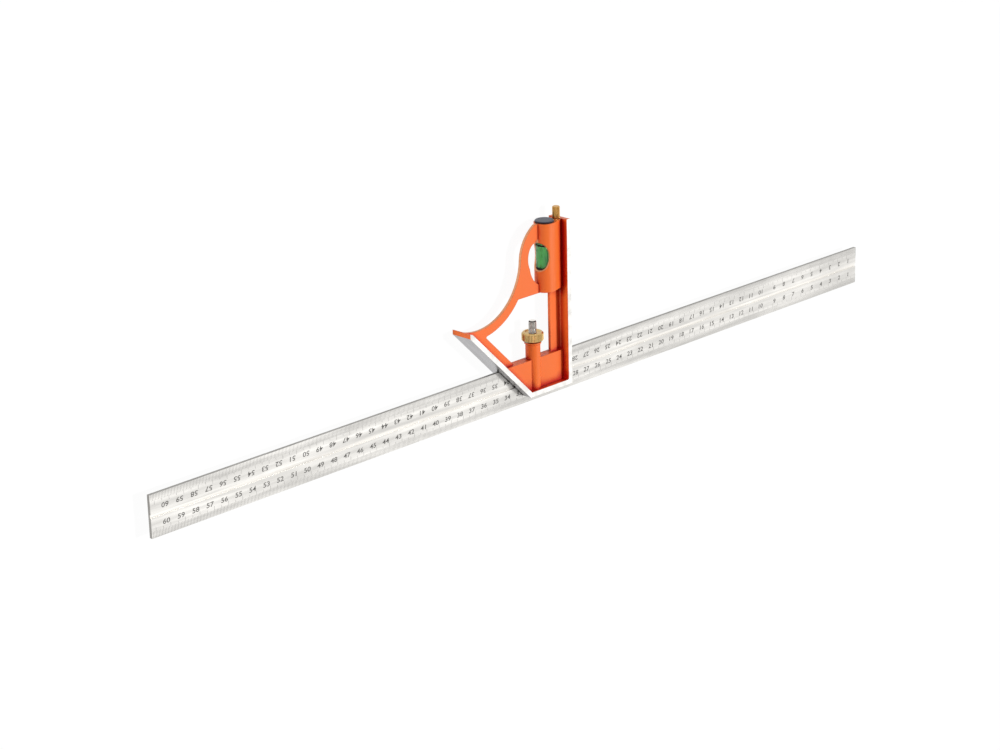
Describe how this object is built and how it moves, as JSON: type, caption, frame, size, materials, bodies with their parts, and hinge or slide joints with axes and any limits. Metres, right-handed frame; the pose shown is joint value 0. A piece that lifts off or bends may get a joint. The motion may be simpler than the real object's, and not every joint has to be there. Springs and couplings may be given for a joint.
{
  "type": "combination square",
  "caption": "Sliding steel rule clamped in a cast head with square and miter faces, a knurled lock nut, a level vial and a stowed scriber.",
  "frame": {"origin": "on the bench plane under the head's back rims, where the square face meets the blade's centre line", "axes": "+X along the blade towards its zero end, square to the square face; +Y up the head from the blade to the scriber; +Z out of the head's front"},
  "size_m": [0.613, 0.1172, 0.015],
  "materials": {
    "rule_steel": "satin ground, with etched grey figures and ticks",
    "head_paint": "satin orange paint, with bare ground faces and rims",
    "bolt_steel": "bright rolled thread",
    "nut_brass": "knurled",
    "spring_steel": "drawn wire",
    "vial_clear": "clear moulded acrylic",
    "vial_clear_plug": "clear, bonded in",
    "vial_green": "green level fluid",
    "cap_plastic": "slate blue-black moulded",
    "scriber_brass": "knurled",
    "needle_steel": "hardened and polished"
  },
  "bodies": {
    "head": {"head_casting": "head_paint", "lock_spring": "spring_steel", "vial_tube": "vial_clear", "vial_plug": "vial_clear_plug", "vial_liquid": "vial_green", "vial_cap": "cap_plastic"},
    "blade": {"blade": "rule_steel"},
    "lock_bolt": {"lock_bolt": "bolt_steel"},
    "lock_nut": {"lock_nut": "nut_brass"},
    "scriber": {"scriber_handle": "scriber_brass", "scriber_needle": "needle_steel"}
  },
  "joints": [
    {"name": "blade_slide", "type": "slide", "parent": "head", "child": "blade", "axis": [1, 0, 0], "range_m": [-0.309, 0.28]},
    {"name": "nut_turn", "type": "hinge", "parent": "head", "child": "lock_nut", "pos_m": [-0.0273, 0.028, 0.0082], "axis": [0, 1, 0], "range_deg": [0, 180]},
    {"name": "bolt_draw", "type": "slide", "parent": "head", "child": "lock_bolt", "axis": [0, 1, 0], "range_m": [-0.0004, 0]},
    {"name": "scriber_pull", "type": "slide", "parent": "head", "child": "scriber", "axis": [0, 1, 0], "range_m": [0, 0.045]}
  ],
  "couplings": [
    {"joint": "nut_turn", "follows": "bolt_draw", "rad_per_m": -7854}
  ]
}
